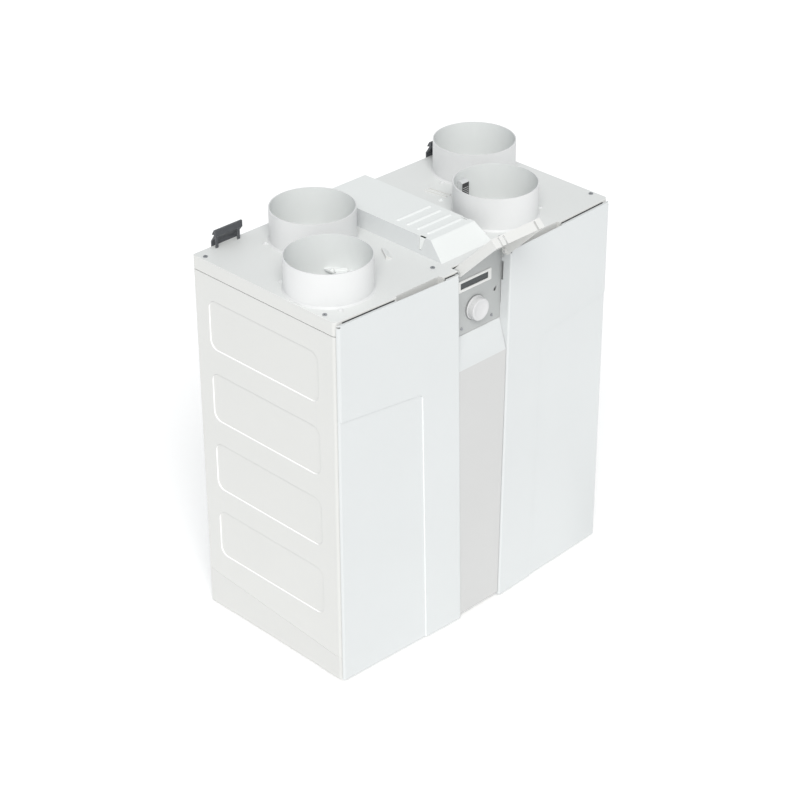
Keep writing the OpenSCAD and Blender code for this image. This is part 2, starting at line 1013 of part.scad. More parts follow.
module control_knob() {
    depth = front + 3 - knob_face;
    color([0.92, 0.93, 0.93])
    difference() {
        translate([knob_x, knob_face, knob_z])
            rotate([-90, 0, 0])
                rotate_extrude(convexity = 4)
                    polygon([
                        [0, 3.2], [7, 3], [12, 2.2], [15.5, 0.9], [17.4, 0.1], [knob_r - 2, 0],
                        [knob_r - 0.6, 0.6],
                        [knob_r, 2], [knob_r + 0.3, depth - 1.6], [knob_r + 1.8, depth - 1.6],
                        [knob_r + 1.8, depth], [0, depth]
                    ]);
        rod_y(knob_x, knob_face + 4, knob_z, shaft_r, 30);
    }
}

// the flap as it lies when shut, hinge axis at the origin
module closed_flap() {
    w = flap_half_w;
    y0 = -9.7;
    y1 = y0 + flap_depth;
    z0 = flap_top - flap_len;
    r = 5.5;
    difference() {
        union() {
            difference() {
                along_x(-w, w)
                    union() {
                        translate([y0, z0]) square([flap_depth, flap_len - r]);
                        translate([y0, flap_top - r - 1]) square([flap_depth - r, r + 1]);
                        translate([y1 - r, flap_top - r]) circle(r = r);
                    }
                box(
                    [-w + flap_wall, y0 + flap_wall, z0 + flap_wall],
                    [w - flap_wall, y1 + 1, flap_top + 1]
                );
            }
            for (s = [-1, 1]) {
                rod_x(s * (w - 2.5) - 2.5, 0, 0, 4.2, 5);
            }
        }
        for (s = [-1, 1]) {
            rod_x(s * (w - 2.5) - 4, 0, 0, flap_pin_r + 0.05, 8);
        }
        // slots through the end lip
        for (slot = [[-48, -44], [-35.5, -31], [43.6, 49]]) {
            box([slot[0], y0 + flap_wall, z0 - 1], [slot[1], y1 + 1, z0 + flap_wall + 1]);
        }
    }
}

module control_flap() {
    color([0.93, 0.93, 0.92])
    translate([0, flap_y, flap_z]) rotate([-flap_open, 0, 0]) closed_flap();
}

module flap_hinge_pins() {
    color([0.7, 0.71, 0.72])
    union() {
        for (s = [-1, 1]) {
            rod_x(s * 60.8 - 3.7, flap_y, flap_z, flap_pin_r, 7.4);
        }
    }
}

module fascia_screws() {
    color([0.45, 0.46, 0.48])
    union() {
        for (x = screw_x) {
            rod_y(x, fascia_y, screw_z, screw_r, fascia_t);
            translate([x, fascia_y, screw_z])
                rotate([90, 0, 0])
                    difference() {
                        cylinder(r = 3, h = 1.2);
                        translate([0, 0, 0.4]) cylinder(r = 1.4, h = 2, $fn = 6);
                    }
        }
    }
}

// ---------- foam lining ----------

module foam_base() {
    color([0.84, 0.85, 0.85])
    difference() {
        box([-skin_x + 3, front + 4, base_z + base_floor + 0.5], [skin_x - 3, back - 4, lining_base_z]);
        box([-186, -146, 40], [186, 146, 70]);
        translate([drain_x, 0, 0]) cylinder(r = drain_room_r, h = 80);
    }
}

module foam_top() {
    color([0.84, 0.85, 0.85])
    difference() {
        union() {
            box([-skin_x, lining_front, lining_top_z], [skin_x, lining_back, cap_under - 3.6]);
            box([-66, -cavity + 1, 640], [66, cavity - 1, lining_top_z + 1]);
            box([-6, -cavity + 1, 632], [6, cavity - 1, 641]);
        }
        for (h = [0, 1]) {
            rotate([0, 0, h * 180]) {
                translate([outer_spigot[0], outer_spigot[1], 600])
                    cylinder(r = duct_hole_r, h = 300);
                translate([inner_spigot[0], inner_spigot[1], 600])
                    cylinder(r = duct_hole_r, h = 300);
                translate([outer_spigot[0], outer_spigot[1], spigot_foot - 0.4])
                    cylinder(r = spigot_r + 0.5, h = 40);
                translate([inner_spigot[0], inner_spigot[1], spigot_foot - 0.4])
                    cylinder(r = spigot_r + 0.5, h = 40);
                // plenum above the filter
                box([-222, 14, lining_top_z - 1], [-filter_x0, 148, 715]);
            }
        }
        // pocket for the control electronics and the sensor housing
        box([-78, front, 600], [78, front + 26, cap_under]);
        box([128, -24, spigot_foot - 20], [150, -4, cap_under]);
    }
}

module foam_front_wall() {
    color([0.84, 0.85, 0.85])
    difference() {
        box([-skin_x, lining_front, lining_base_z + 0.5], [skin_x, -cavity - 0.5, lining_top_z - 0.5]);
        box([-78, front, 600], [78, front + 26, 700]);
        for (s = [-1, 1]) {
            box(
                [s > 0 ? filter_x0 : -filter_x0 - filter_w, front, filter_z - 2],
                [s > 0 ? filter_x0 + filter_w : -filter_x0, -cavity + 5, filter_z + filter_h + 2]
            );
        }
    }
}

module foam_back_wall() {
    color([0.84, 0.85, 0.85])
    box([-skin_x, cavity + 0.5, lining_base_z + 0.5], [skin_x, lining_back, lining_top_z - 0.5]);
}

module foam_side_wall() {
    box([-skin_x, -cavity, lining_base_z + 0.5], [-side_in - 0.5, cavity, lining_top_z - 0.5]);
}

module foam_left_wall() {
    color([0.84, 0.85, 0.85]) foam_side_wall();
}

module foam_right_wall() {
    color([0.84, 0.85, 0.85]) mirror([1, 0, 0]) foam_side_wall();
}

// divider beside the exchanger with the riser duct of one fan
module foam_divider() {
    difference() {
        union() {
            box([-side_in, -cavity + 0.5, 320], [-141.5, cavity - 0.5, 490]);
            box([-side_in, -cavity + 0.5, 489], [-205.5, -12, lining_top_z - 0.5]);
        }
        box([-328, -144, 300], [-211, -18, 800]);
    }
}

module foam_left_divider() {
    color([0.84, 0.85, 0.85]) foam_divider();
}

module foam_right_divider() {
    color([0.84, 0.85, 0.85]) turned() foam_divider();
}

// ---------- condensate ----------

module condensate_basin() {
    color([0.16, 0.17, 0.18])
    difference() {
        union() {
            difference() {
                box([-184, -144, 41], [184, 144, 76]);
                box([-181.5, -141.5, 43.5], [181.5, 141.5, 80]);
            }
            // web under the exchanger that keeps the two air streams apart
            box([-3, -143, 42], [3, 143, 188]);
        }
        translate([drain_x, 0, 30]) cylinder(r = drain_r + 2, h = 30);
    }
}

module condensate_drain() {
    color([0.16, 0.17, 0.18])
    translate([drain_x, 0, 4])
        difference() {
            union() {
                cylinder(r = drain_r + 3.5, h = 37);
                cylinder(r = drain_r + 1.9, h = 42);
            }
            translate([0, 0, -1]) cylinder(r = drain_r, h = 50);
        }
}

// ---------- heat exchanger ----------

module core_outline(inset = 0) {
    w = core_half_w - inset;
    s = core_side / 2 - inset * 0.41;
    t = s + w;
    polygon([
        [-w, core_z - s], [0, core_z - t], [w, core_z - s],
        [w, core_z + s], [0, core_z + t], [-w, core_z + s]
    ]);
}

module exchanger_core() {
    color([0.78, 0.8, 0.82])
    along_y(core_y0 + core_end, core_y1 - core_end) core_outline(1.5);
}

module exchanger_end_frames() {
    color([0.2, 0.21, 0.22])
    union() {
        for (y = [core_y0, core_y1 - core_end]) {
            difference() {
                along_y(y, y + core_end) core_outline();
                along_y(y - 1, y + core_end + 1) core_outline(14);
            }
            along_y(y + core_end / 2 - 1, y + core_end / 2 + 1) core_outline(13);
        }
    }
}

module exchanger_seals() {
    color([0.1, 0.1, 0.1])
    union() {
        for (s = [-1, 1]) {
            for (z = [core_z - 60, core_z + 40]) {
                x = s > 0 ? core_half_w - 1.5 : -141.5;
                box(
                    [x, core_y0 + core_end, z],
                    [x + 141.5 - core_half_w + 1.5, core_y1 - core_end, z + 20]
                );
            }
        }
    }
}

// ---------- fans ----------

// side view of the fan scroll about its own axis, walls drawn in by inset
module scroll_outline(inset = 0) {
    circle(r = scroll_r - inset);
    translate([-90 + inset, 0]) square([115 - 2 * inset, 150 + (inset > 0 ? 1 : 0)]);
}

module fan_scroll() {
    translate([fan_x, fan_y, fan_z])
        difference() {
            along_y(-scroll_d / 2, scroll_d / 2) scroll_outline();
            along_y(-scroll_d / 2 + scroll_wall, scroll_d / 2 - scroll_wall) scroll_outline(scroll_wall);
            rod_y(0, 0, 0, 62, 80);
            rod_y(0, -60, 0, 20, 20);
        }
}

module fan_motor() {
    translate([fan_x, fan_y, fan_z])
        union() {
            rod_y(0, -50, 0, 19.8, 8);
            rod_y(0, -47.4, 0, 40, 5);
            rod_y(0, -43, 0, motor_r, 34);
            rod_y(0, -10, 0, fan_shaft_r, 24);
        }
}

module fan_wheel() {
    translate([fan_x, fan_y, fan_z])
        union() {
            // rotor cup around the motor
            difference() {
                rod_y(0, -38, 0, motor_r + 6, 44);
                rod_y(0, -39, 0, motor_r + 2, 37);
                rod_y(0, -3, 0, fan_shaft_r + 0.05, 20);
            }
            // back disc, blades and shroud ring
            difference() {
                rod_y(0, -38, 0, wheel_r, 2.5);
                rod_y(0, -39, 0, 41, 6);
            }
            for (k = [0:blade_count - 1]) {
                rotate([0, k * 360 / blade_count, 0])
                    translate([blade_r, -36, 0])
                        rotate([0, 38, 0]) cube([33, 72, 1.6]);
            }
            difference() {
                rod_y(0, 35, 0, wheel_r, 2.5);
                rod_y(0, 34, 0, blade_r - 1.5, 6);
            }
        }
}

module supply_fan_scroll() {
    color([0.2, 0.21, 0.22]) fan_scroll();
}

module supply_fan_motor() {
    color([0.6, 0.61, 0.63]) fan_motor();
}

module supply_fan_wheel() {
    color([0.15, 0.15, 0.16]) fan_wheel();
}

module exhaust_fan_scroll() {
    color([0.2, 0.21, 0.22]) turned() fan_scroll();
}

module exhaust_fan_motor() {
    color([0.6, 0.61, 0.63]) turned() fan_motor();
}

module exhaust_fan_wheel() {
    color([0.15, 0.15, 0.16]) turned() fan_wheel();
}

// ---------- filters ----------

// pleated slab in a cardboard frame, drawn for the extract side
module filter_slab() {
    x0 = -filter_x0 - filter_w + 3;
    x1 = -filter_x0 - 3;
    z1 = filter_z + filter_h;
    pleats = 18;
    pitch = 276 / pleats;
    union() {
        difference() {
            box([x0, -148, filter_z], [x1, 148, z1]);
            box([x0 + 5, -140, filter_z - 1], [x1 - 5, 140, z1 + 1]);
        }
        for (k = [0:pleats - 1]) {
            y = -138 + k * pitch;
            along_x(x0 + 4, x1 - 4)
                polygon([
                    [y, filter_z + 2], [y + 2, filter_z + 2], [y + pitch / 2 + 1, z1 - 3],
                    [y + pitch + 0.2, filter_z + 2], [y + pitch + 1.5, filter_z + 2],
                    [y + pitch / 2 + 2.2, z1 - 1], [y + pitch / 2 - 0.2, z1 - 1]
                ]);
        }
    }
}

module extract_filter() {
    color([0.95, 0.95, 0.93]) filter_slab();
}

module supply_filter() {
    color([0.95, 0.95, 0.93]) turned() filter_slab();
}

module filter_guides() {
    color([0.2, 0.21, 0.22])
    union() {
        for (h = [0, 1]) {
            rotate([0, 0, h * 180]) {
                box([-204.5, -148, filter_z - 4], [-195, 148, filter_z]);
                box([-204.5, -11, filter_z - 4], [-201.5, 148, filter_z + filter_h]);
                box([-78, -148, filter_z - 4], [-66, 148, filter_z]);
            }
        }
    }
}

module filter_covers() {
    color([0.85, 0.86, 0.87])
    union() {
        for (s = [-1, 1]) {
            x = s > 0 ? filter_x0 + 1 : -filter_x0 - filter_w + 1;
            difference() {
                box(
                    [x, lining_front + 1, filter_z - 1],
                    [x + filter_w - 2, lining_front + 20, filter_z + filter_h + 1]
                );
                box([x + 3, lining_front + 4, filter_z + 2], [x + filter_w - 5, -100, filter_z + 22]);
            }
            // pull grip
            box([x + 49, lining_front - 3, filter_z + 11], [x + 79, lining_front + 1, filter_z + 14]);
        }
    }
}

// ---------- bypass ----------

module bypass_frame() {
    color([0.2, 0.21, 0.22])
    difference() {
        box([bypass_x - 62, -148.5, bypass_z - 8], [bypass_x + 62, -106, bypass_z + 8]);
        box([bypass_x - 57, bypass_y - 18, bypass_z - 9], [bypass_x + 57, bypass_y + 18, bypass_z + 9]);
        rod_x(bypass_x - 70, bypass_y, bypass_z, 3.05, 140);
    }
}

module bypass_blade() {
    color([0.75, 0.76, 0.77])
    union() {
        difference() {
            rod_x(bypass_x - 66, bypass_y, bypass_z, 3, 127);
            box([bypass_x - 70, bypass_y - 4, bypass_z + 2], [bypass_x - 62.2, bypass_y + 4, bypass_z + 4]);
        }
        box([bypass_x - 56, bypass_y - 17, bypass_z - 1.2], [bypass_x + 56, bypass_y + 17, bypass_z + 1.2]);
    }
}

module bypass_actuator() {
    color([0.32, 0.33, 0.35])
    difference() {
        union() {
            box(
                [bypass_x - 96, bypass_y - 17, bypass_z - 18],
                [bypass_x - 66.5, bypass_y + 17, bypass_z + 18]
            );
            box(
                [bypass_x - 67, bypass_y - 17, bypass_z - 18],
                [bypass_x - 58, bypass_y + 17, bypass_z - 8]
            );
        }
        rod_x(bypass_x - 76, bypass_y, bypass_z, 3.3, 20);
    }
}

base_tray();
base_feet();
back_panel();
left_side_panel();
right_side_panel();
top_cap();
electronics_cover();
centre_cover();
control_fascia();
display_bezel();
display_lens();
display_module();
rotary_encoder();
encoder_plunger();
encoder_shaft();
control_knob();
control_flap();
flap_hinge_pins();
left_door();
right_door();
door_hinge_pins();
door_magnets();
supply_spigot();
extract_spigot();
outdoor_air_spigot();
exhaust_spigot();
left_wall_hook();
right_wall_hook();
foam_base();
foam_top();
foam_front_wall();
foam_back_wall();
foam_left_wall();
foam_right_wall();
foam_left_divider();
foam_right_divider();
condensate_basin();
condensate_drain();
exchanger_core();
exchanger_end_frames();
exchanger_seals();
supply_fan_scroll();
supply_fan_motor();
supply_fan_wheel();
exhaust_fan_scroll();
exhaust_fan_motor();
exhaust_fan_wheel();
extract_filter();
supply_filter();
filter_guides();
filter_covers();
bypass_frame();
bypass_blade();
bypass_actuator();
board_tray();
control_board();
cable_gland();
duct_sensor();
cap_screws();
fascia_screws();
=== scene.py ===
import json
from math import cos, pi, radians, sin, tan

import bmesh
import bpy
from mathutils import Matrix, Vector


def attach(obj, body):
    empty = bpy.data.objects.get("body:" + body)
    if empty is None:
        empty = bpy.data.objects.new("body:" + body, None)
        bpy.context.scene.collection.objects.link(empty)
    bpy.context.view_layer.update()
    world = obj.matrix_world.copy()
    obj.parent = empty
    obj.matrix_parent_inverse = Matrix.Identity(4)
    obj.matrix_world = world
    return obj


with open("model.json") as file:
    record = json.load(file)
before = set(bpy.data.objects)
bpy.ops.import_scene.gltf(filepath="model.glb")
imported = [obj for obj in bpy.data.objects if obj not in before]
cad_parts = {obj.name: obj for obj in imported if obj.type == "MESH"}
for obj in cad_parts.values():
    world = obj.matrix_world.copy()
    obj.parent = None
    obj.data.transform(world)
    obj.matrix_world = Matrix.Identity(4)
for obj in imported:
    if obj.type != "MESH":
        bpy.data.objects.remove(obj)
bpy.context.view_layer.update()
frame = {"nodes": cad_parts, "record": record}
NODES = frame["nodes"]

MM = 0.001

# the casing, and the doors in front of it, in millimetres
FRONT = -185.5
HALF_W = 352.5
CAP_TOP = 757.0
CAP_FOOT = 730.0
DOOR_SLOPE = radians(2.24)
DOOR_LEAD = 6.9
DOOR_STEP = 2.2


# ---------- node helpers ----------

def new_material(name, base, rough, metallic=0.0, specular=0.5):
    """A Principled material; returns the material, its node tree and its shader."""
    mat = bpy.data.materials.new(name)
    mat.use_nodes = True
    tree = mat.node_tree
    shader = tree.nodes["Principled BSDF"]
    shader.inputs["Base Color"].default_value = (*base, 1.0)
    shader.inputs["Roughness"].default_value = rough
    shader.inputs["Metallic"].default_value = metallic
    shader.inputs["Specular IOR Level"].default_value = specular
    return mat, tree, shader


def object_coords(tree, scale=(1.0, 1.0, 1.0)):
    coords = tree.nodes.new("ShaderNodeTexCoord")
    mapping = tree.nodes.new("ShaderNodeMapping")
    mapping.inputs["Scale"].default_value = scale
    tree.links.new(coords.outputs["Object"], mapping.inputs["Vector"])
    return mapping.outputs["Vector"]


def noise(tree, vector, scale, detail=3.0, rough=0.5):
    node = tree.nodes.new("ShaderNodeTexNoise")
    node.inputs["Scale"].default_value = scale
    node.inputs["Detail"].default_value = detail
    node.inputs["Roughness"].default_value = rough
    tree.links.new(vector, node.inputs["Vector"])
    return node.outputs["Fac"]


def voronoi(tree, vector, scale, feature="F1"):
    node = tree.nodes.new("ShaderNodeTexVoronoi")
    node.feature = feature
    node.inputs["Scale"].default_value = scale
    tree.links.new(vector, node.inputs["Vector"])
    return node.outputs["Distance"]


def ramp(tree, factor, low, high, start=0.3, stop=0.7):
    """Colour ramp between two RGB colours."""
    node = tree.nodes.new("ShaderNodeValToRGB")
    node.color_ramp.elements[0].position = start
    node.color_ramp.elements[1].position = stop
    node.color_ramp.elements[0].color = (*low, 1.0)
    node.color_ramp.elements[1].color = (*high, 1.0)
    tree.links.new(factor, node.inputs["Fac"])
    return node.outputs["Color"]


def map_range(tree, value, low, high, start=0.0, stop=1.0):
    node = tree.nodes.new("ShaderNodeMapRange")
    node.inputs["From Min"].default_value = start
    node.inputs["From Max"].default_value = stop
    node.inputs["To Min"].default_value = low
    node.inputs["To Max"].default_value = high
    tree.links.new(value, node.inputs["Value"])
    return node.outputs["Result"]


def math(tree, operation, first, second):
    node = tree.nodes.new("ShaderNodeMath")
    node.operation = operation
    for socket, value in zip(node.inputs, (first, second)):
        if isinstance(value, (int, float)):
            socket.default_value = value
        else:
            tree.links.new(value, socket)
    return node.outputs[0]


def bump(tree, shader, height, strength, distance):
    node = tree.nodes.new("ShaderNodeBump")
    node.inputs["Strength"].default_value = strength
    node.inputs["Distance"].default_value = distance
    tree.links.new(height, node.inputs["Height"])
    tree.links.new(node.outputs["Normal"], shader.inputs["Normal"])


def rubbed_and_highlit_edges(tree, vector, radius):
    """Near 1 along edges and 0 on flats, broken up by noise: the edges that get lighter, partly as
    rubbed paint and partly as painted highlight.
    """
    rounded = tree.nodes.new("ShaderNodeBevel")
    rounded.samples = 4
    rounded.inputs["Radius"].default_value = radius
    surface = tree.nodes.new("ShaderNodeNewGeometry")
    dot = tree.nodes.new("ShaderNodeVectorMath")
    dot.operation = "DOT_PRODUCT"
    tree.links.new(rounded.outputs["Normal"], dot.inputs[0])
    tree.links.new(surface.outputs["Normal"], dot.inputs[1])
    edge = map_range(tree, dot.outputs["Value"], 0.0, 1.0, 0.995, 0.88)
    patches = map_range(tree, noise(tree, vector, 45.0, 4.0, 0.65), 0.35, 1.0, 0.35, 0.6)
    return math(tree, "MULTIPLY", edge, patches)


def mix_color(tree, factor, first, second):
    node = tree.nodes.new("ShaderNodeMix")
    node.data_type = "RGBA"
    tree.links.new(factor, node.inputs[0])
    tree.links.new(first, node.inputs[6])
    node.inputs[7].default_value = (*second, 1.0)
    return node.outputs[2]


def shade(color, factor):
    return tuple(min(1.0, c * factor) for c in color)


# ---------- materials ----------

def coated(name, base, rough, grain, depth, drift=0.015, rubbed_and_highlight_gain=0.45):
    """Paint or moulded plastic: slow drift of tone, fine speckle, surface texture and edges painted
    lighter, partly as rubbed paint and partly as painted highlight.
    """
    mat, tree, shader = new_material(name, base, rough)
    vector = object_coords(tree)
    slow = noise(tree, vector, 5.0, 4.0)
    fine = noise(tree, vector, grain, 2.0, 0.6)
    speckle = noise(tree, vector, grain * 0.35, 4.0, 0.7)
    tone = math(tree, "ADD", math(tree, "MULTIPLY", slow, 0.75), math(tree, "MULTIPLY", speckle, 0.25))
    color = ramp(tree, tone, shade(base, 1.0 - drift), shade(base, 1.0 + drift))
    # edges lightened towards white: partly rubbed paint, partly painted highlight
    rubbed_and_highlit = rubbed_and_highlit_edges(tree, vector, 0.8 * MM)
    rubbed_and_highlit_color = tuple(c + (1.0 - c) * rubbed_and_highlight_gain for c in base)
    tree.links.new(mix_color(tree, rubbed_and_highlit, color, rubbed_and_highlit_color), shader.inputs["Base Color"])
    roughness = map_range(tree, tone, rough - 0.06, rough + 0.06)
    polished = math(tree, "SUBTRACT", roughness, math(tree, "MULTIPLY", rubbed_and_highlit, 0.12))
    tree.links.new(polished, shader.inputs["Roughness"])
    bump(tree, shader, fine, 0.35, depth)
    return mat


def foam(name, base):
    """Bead foam: rounded beads with dark seams between them."""
    mat, tree, shader = new_material(name, base, 0.85, specular=0.2)
    vector = object_coords(tree)
    cells = voronoi(tree, vector, 260.0)
    edges = voronoi(tree, vector, 260.0, "DISTANCE_TO_EDGE")
    color = ramp(tree, edges, shade(base, 0.86), shade(base, 1.02), 0.0, 0.12)
    tree.links.new(color, shader.inputs["Base Color"])
    bump(tree, shader, math(tree, "MULTIPLY", cells, -1.0), 0.6, 0.6 * MM)
    return mat


def brushed(name, base, rough, stretch=(4.0, 220.0, 220.0)):
    """Metal with fine lines drawn out along one axis."""
    mat, tree, shader = new_material(name, base, rough, metallic=1.0)
    lines = noise(tree, object_coords(tree, stretch), 6.0, 5.0, 0.6)
    color = ramp(tree, lines, shade(base, 0.86), shade(base, 1.1))
    tree.links.new(color, shader.inputs["Base Color"])
    tree.links.new(map_range(tree, lines, rough - 0.1, rough + 0.12), shader.inputs["Roughness"])
    bump(tree, shader, lines, 0.2, 0.05 * MM)
    return mat


def zinc(name):
    """Galvanised sheet with its spangle."""
    base = (0.62, 0.64, 0.66)
    mat, tree, shader = new_material(name, base, 0.42, 0.9)
    vector = object_coords(tree)
    spangle = voronoi(tree, vector, 55.0, "SMOOTH_F1")
    grain = noise(tree, vector, 400.0, 3.0)
    color = ramp(tree, spangle, shade(base, 0.88), shade(base, 1.1), 0.1, 0.7)
    tree.links.new(color, shader.inputs["Base Color"])
    tree.links.new(map_range(tree, spangle, 0.34, 0.52), shader.inputs["Roughness"])
    bump(tree, shader, grain, 0.15, 0.05 * MM)
    return mat


def fleece(name, base):
    """Filter fleece: tangled short fibres."""
    mat, tree, shader = new_material(name, base, 0.95, specular=0.1)
    vector = object_coords(tree, (1.0, 0.25, 1.0))
    fibres = noise(tree, vector, 900.0, 6.0, 0.75)
    color = ramp(tree, fibres, shade(base, 0.82), shade(base, 1.02), 0.35, 0.65)
    tree.links.new(color, shader.inputs["Base Color"])
    bump(tree, shader, fibres, 0.8, 0.3 * MM)
    return mat


def plates(name, base):
    """Exchanger core: the edges of thin stacked plates, seen as fine ridges."""
    mat, tree, shader = new_material(name, base, 0.4)
    wave = tree.nodes.new("ShaderNodeTexWave")
    wave.bands_direction = "Y"
    wave.inputs["Scale"].default_value = 80.0
    wave.inputs["Distortion"].default_value = 0.4
    tree.links.new(object_coords(tree), wave.inputs["Vector"])
    color = ramp(tree, wave.outputs["Fac"], shade(base, 0.6), shade(base, 1.05), 0.1, 0.6)
    tree.links.new(color, shader.inputs["Base Color"])
    bump(tree, shader, wave.outputs["Fac"], 0.8, 1.0 * MM)
    return mat


def circuit_board(name):
    """Solder resist with a pattern of tracks and pads."""
    base = (0.02, 0.16, 0.07)
    mat, tree, shader = new_material(name, base, 0.3)
    vector = object_coords(tree)
    tracks = voronoi(tree, vector, 170.0, "DISTANCE_TO_EDGE")
    color = ramp(tree, tracks, (0.09, 0.32, 0.15), base, 0.02, 0.08)
    tree.links.new(color, shader.inputs["Base Color"])
    bump(tree, shader, tracks, 0.3, 0.05 * MM)
    return mat


def display_glass(name):
    """Dark reflective display with a faint dot matrix behind the glass."""
    base = (0.03, 0.037, 0.04)
    mat, tree, shader = new_material(name, base, 0.2)
    shader.inputs["Coat Weight"].default_value = 0.25
    vector = object_coords(tree)
    split = tree.nodes.new("ShaderNodeSeparateXYZ")
    tree.links.new(vector, split.inputs["Vector"])
    dot_pitch = 0.9 * MM
    cells = []
    for axis in ("X", "Z"):
        phase = math(tree, "MULTIPLY", split.outputs[axis], 2 * pi / dot_pitch)
        cells.append(math(tree, "SINE", phase, 0.0))
    grid = math(tree, "MAXIMUM", cells[0], cells[1])
    color = ramp(tree, grid, shade(base, 0.85), shade(base, 1.25), 0.55, 0.95)
    tree.links.new(color, shader.inputs["Base Color"])
    smear = noise(tree, vector, 60.0, 3.0)
    tree.links.new(map_range(tree, smear, 0.1, 0.24), shader.inputs["Roughness"])
    return mat


def lit_and_shaded_step(name, base, lit_side):
    """Rounding of a pressed step with painted light and shade: lighter and smoother on the side that
    faces lit_side, darker and rougher on the other.
    """
    mat, tree, shader = new_material(name, base, 0.4)
    coords = tree.nodes.new("ShaderNodeTexCoord")
    dot = tree.nodes.new("ShaderNodeVectorMath")
    dot.operation = "DOT_PRODUCT"
    dot.inputs[1].default_value = lit_side
    tree.links.new(coords.outputs["Normal"], dot.inputs[0])
    side = map_range(tree, dot.outputs["Value"], 0.0, 1.0, -0.6, 0.6)
    patches = noise(tree, coords.outputs["Object"], 60.0, 3.0)
    tone = math(tree, "ADD", side, map_range(tree, patches, -0.06, 0.06))
    color = ramp(tree, tone, shade(base, 0.5), shade(base, 1.5), 0.0, 1.0)
    tree.links.new(color, shader.inputs["Base Color"])
    tree.links.new(map_range(tree, tone, 0.5, 0.32), shader.inputs["Roughness"])
    bump(tree, shader, noise(tree, coords.outputs["Object"], 900.0, 2.0), 0.3, 0.03 * MM)
    return mat


def make_materials():
    """One material for each of the record's slots."""
    grain_paint = 900.0
    grain_plastic = 2200.0
    return {
        "white_enamel": coated("white_enamel", (0.675, 0.676, 0.662), 0.42, grain_paint, 0.05 * MM),
        # lighter copy of the enamel for the cap's upward faces: painted light
        "cap_white": coated("cap_white", (0.745, 0.757, 0.75), 0.42, grain_paint, 0.05 * MM),
        "base_plastic": coated("base_plastic", (0.66, 0.66, 0.648), 0.5, grain_plastic, 0.03 * MM),
        "door_white": coated("door_white", (0.652, 0.67, 0.675), 0.38, grain_plastic, 0.02 * MM),
        "cover_white": coated("cover_white", (0.80, 0.82, 0.815), 0.45, grain_plastic, 0.03 * MM),
        "column_grey": coated("column_grey", (0.575, 0.575, 0.572), 0.45, grain_plastic, 0.03 * MM),
        "fascia_grey": coated("fascia_grey", (0.44, 0.452, 0.45), 0.45, grain_plastic, 0.03 * MM),
        "flap_white": coated("flap_white", (0.735, 0.735, 0.722), 0.42, grain_plastic, 0.02 * MM),
        "knob_white": coated("knob_white", (0.63, 0.63, 0.637), 0.35, grain_plastic, 0.015 * MM),
        "spigot_white": coated("spigot_white", (0.72, 0.725, 0.728), 0.4, grain_paint, 0.04 * MM),
        "hook_grey": coated("hook_grey", (0.075, 0.079, 0.088), 0.4, grain_paint, 0.05 * MM,
                            drift=0.12, rubbed_and_highlight_gain=0.2),
        "black_plastic": coated("black_plastic", (0.03, 0.03, 0.033), 0.5, grain_plastic, 0.04 * MM,
                                drift=0.15, rubbed_and_highlight_gain=0.08),
        "wheel_plastic": coated("wheel_plastic", (0.035, 0.036, 0.04), 0.42, grain_plastic, 0.03 * MM,
                                drift=0.15, rubbed_and_highlight_gain=0.08),
        "magnet_dark": coated("magnet_dark", (0.06, 0.06, 0.062), 0.45, grain_paint, 0.05 * MM,
                              drift=0.2, rubbed_and_highlight_gain=0.15),
        "seal_rubber": coated("seal_rubber", (0.02, 0.02, 0.02), 0.75, grain_plastic, 0.06 * MM,
                              drift=0.2, rubbed_and_highlight_gain=0.03),
        "sensor_grey": coated("sensor_grey", (0.62, 0.63, 0.64), 0.45, grain_plastic, 0.03 * MM),
        "filter_cover_grey": coated("filter_cover_grey", (0.6, 0.61, 0.62), 0.5, grain_plastic,
                                    0.04 * MM, drift=0.03),
        "foam_grey": foam("foam_grey", (0.7, 0.705, 0.71)),
        "back_zinc": zinc("back_zinc"),
        "pin_steel": brushed("pin_steel", (0.6, 0.61, 0.62), 0.3),
        "screw_steel": brushed("screw_steel", (0.42, 0.43, 0.45), 0.35, (160.0, 160.0, 160.0)),
        "motor_aluminium": brushed("motor_aluminium", (0.6, 0.61, 0.62), 0.4, (90.0, 8.0, 90.0)),
        "core_plastic": plates("core_plastic", (0.6, 0.63, 0.66)),
        "filter_fleece": fleece("filter_fleece", (0.84, 0.84, 0.8)),
        "board_green": circuit_board("board_green"),
        "lcd_glass": display_glass("lcd_glass"),
        # painted light and shade: copies of the enamel and door colours for the step walls, lighter
        # where they face up and to the front (panel) or up and to the left (door), darker on the other
        # side
        "panel_step": lit_and_shaded_step("panel_step", (0.675, 0.676, 0.662), (0.0, -0.65, 0.76)),
        "door_step": lit_and_shaded_step("door_step", (0.652, 0.67, 0.675), (-0.8, 0.0, 0.6)),
    }


def paint_faces(name, material, chosen):
    """Gives the polygons that chosen picks, by centre and normal, a second material."""
    obj = NODES[name]
    obj.data.materials.append(material)
    index = len(obj.data.materials) - 1
    for polygon in obj.data.polygons:
        center = obj.matrix_world @ polygon.center
        normal = obj.matrix_world.to_3x3() @ polygon.normal
        if chosen(center / MM, normal):
            polygon.material_index = index


def on_door_step(center, normal):
    """Is this face part of the wall around a door's stepped field?"""
    depth = center.y - FRONT + (HALF_W - abs(center.x)) * tan(DOOR_SLOPE) + DOOR_LEAD
    return (0.3 < depth < DOOR_STEP - 0.3 and normal.y > -0.5
            and 90.0 < abs(center.x) < 346.0 and 20.0 < center.z < 700.0)


# middle of each duct in plan, in millimetres
DUCTS = {"supply_spigot": (-267.5, -81.0), "extract_spigot": (-155.0, 81.0),
         "outdoor_air_spigot": (155.0, -81.0), "exhaust_spigot": (267.5, 81.0)}


